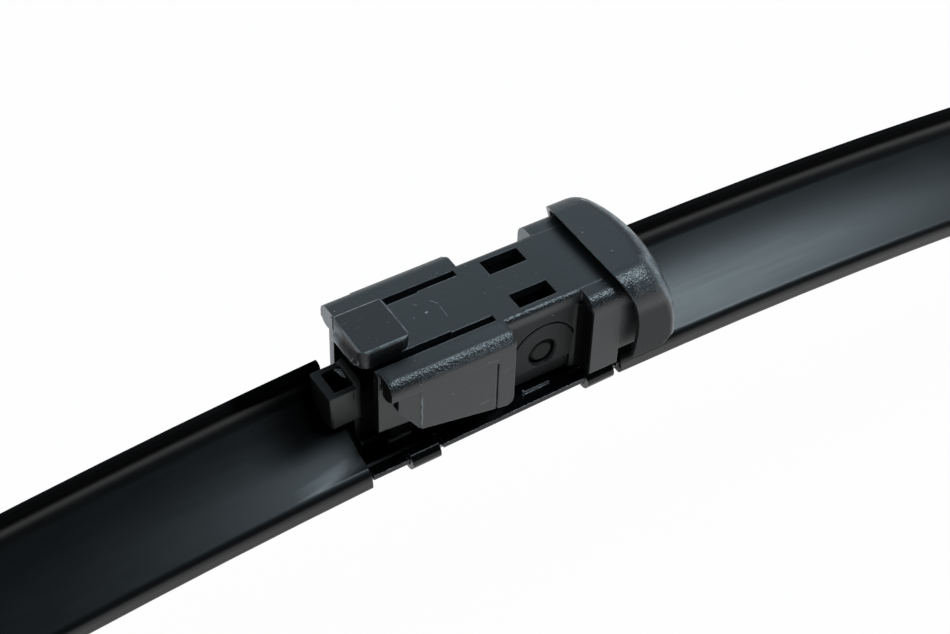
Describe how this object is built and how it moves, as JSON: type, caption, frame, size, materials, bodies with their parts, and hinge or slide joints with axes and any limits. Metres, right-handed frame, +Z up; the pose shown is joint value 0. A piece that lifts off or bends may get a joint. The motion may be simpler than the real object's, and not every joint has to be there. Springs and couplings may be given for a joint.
{
  "type": "wiper blade",
  "caption": "Flat bowed wiper blade with a split spoiler, a steel centre bracket and a swivelling arm adapter with a push-button release.",
  "frame": {"origin": "middle of the pivot pin, on its axis and in the adapter's middle plane; the seat of the wiper arm is given from here", "axes": "+X along the blade towards the hood's end, +Y across it towards the raised fin, +Z up and away from the glass"},
  "size_m": [0.3994, 0.0194, 0.0634],
  "materials": {
    "wiping_rubber": "matte",
    "spring_steel": "satin",
    "spoiler_rubber": "satin",
    "cap_plastic": "satin",
    "bracket_paint": "gloss",
    "block_plastic": "satin",
    "pin_paint": "satin",
    "adapter_plastic": "satin",
    "button_plastic": "satin"
  },
  "bodies": {
    "adapter": {"adapter": "adapter_plastic"},
    "blade": {"wiper_rubber": "wiping_rubber", "flexor_near": "spring_steel", "flexor_far": "spring_steel", "spoiler_left": "spoiler_rubber", "spoiler_right": "spoiler_rubber", "end_cap_left": "cap_plastic", "end_cap_right": "cap_plastic", "bracket": "bracket_paint", "joint_block": "block_plastic", "pivot_pin": "pin_paint"},
    "button": {"release_button": "button_plastic"}
  },
  "joints": [
    {"name": "blade_swivel", "type": "hinge", "parent": "adapter", "child": "blade", "pos_m": [0, 0, 0], "axis": [0, 1, 0], "range_deg": [-5, 3]},
    {"name": "button_press", "type": "hinge", "parent": "adapter", "child": "button", "pos_m": [-0.0062, 0, 0.0064], "axis": [0, -1, 0], "range_deg": [0, 6], "stiffness_Nm_per_rad": 0.4}
  ]
}
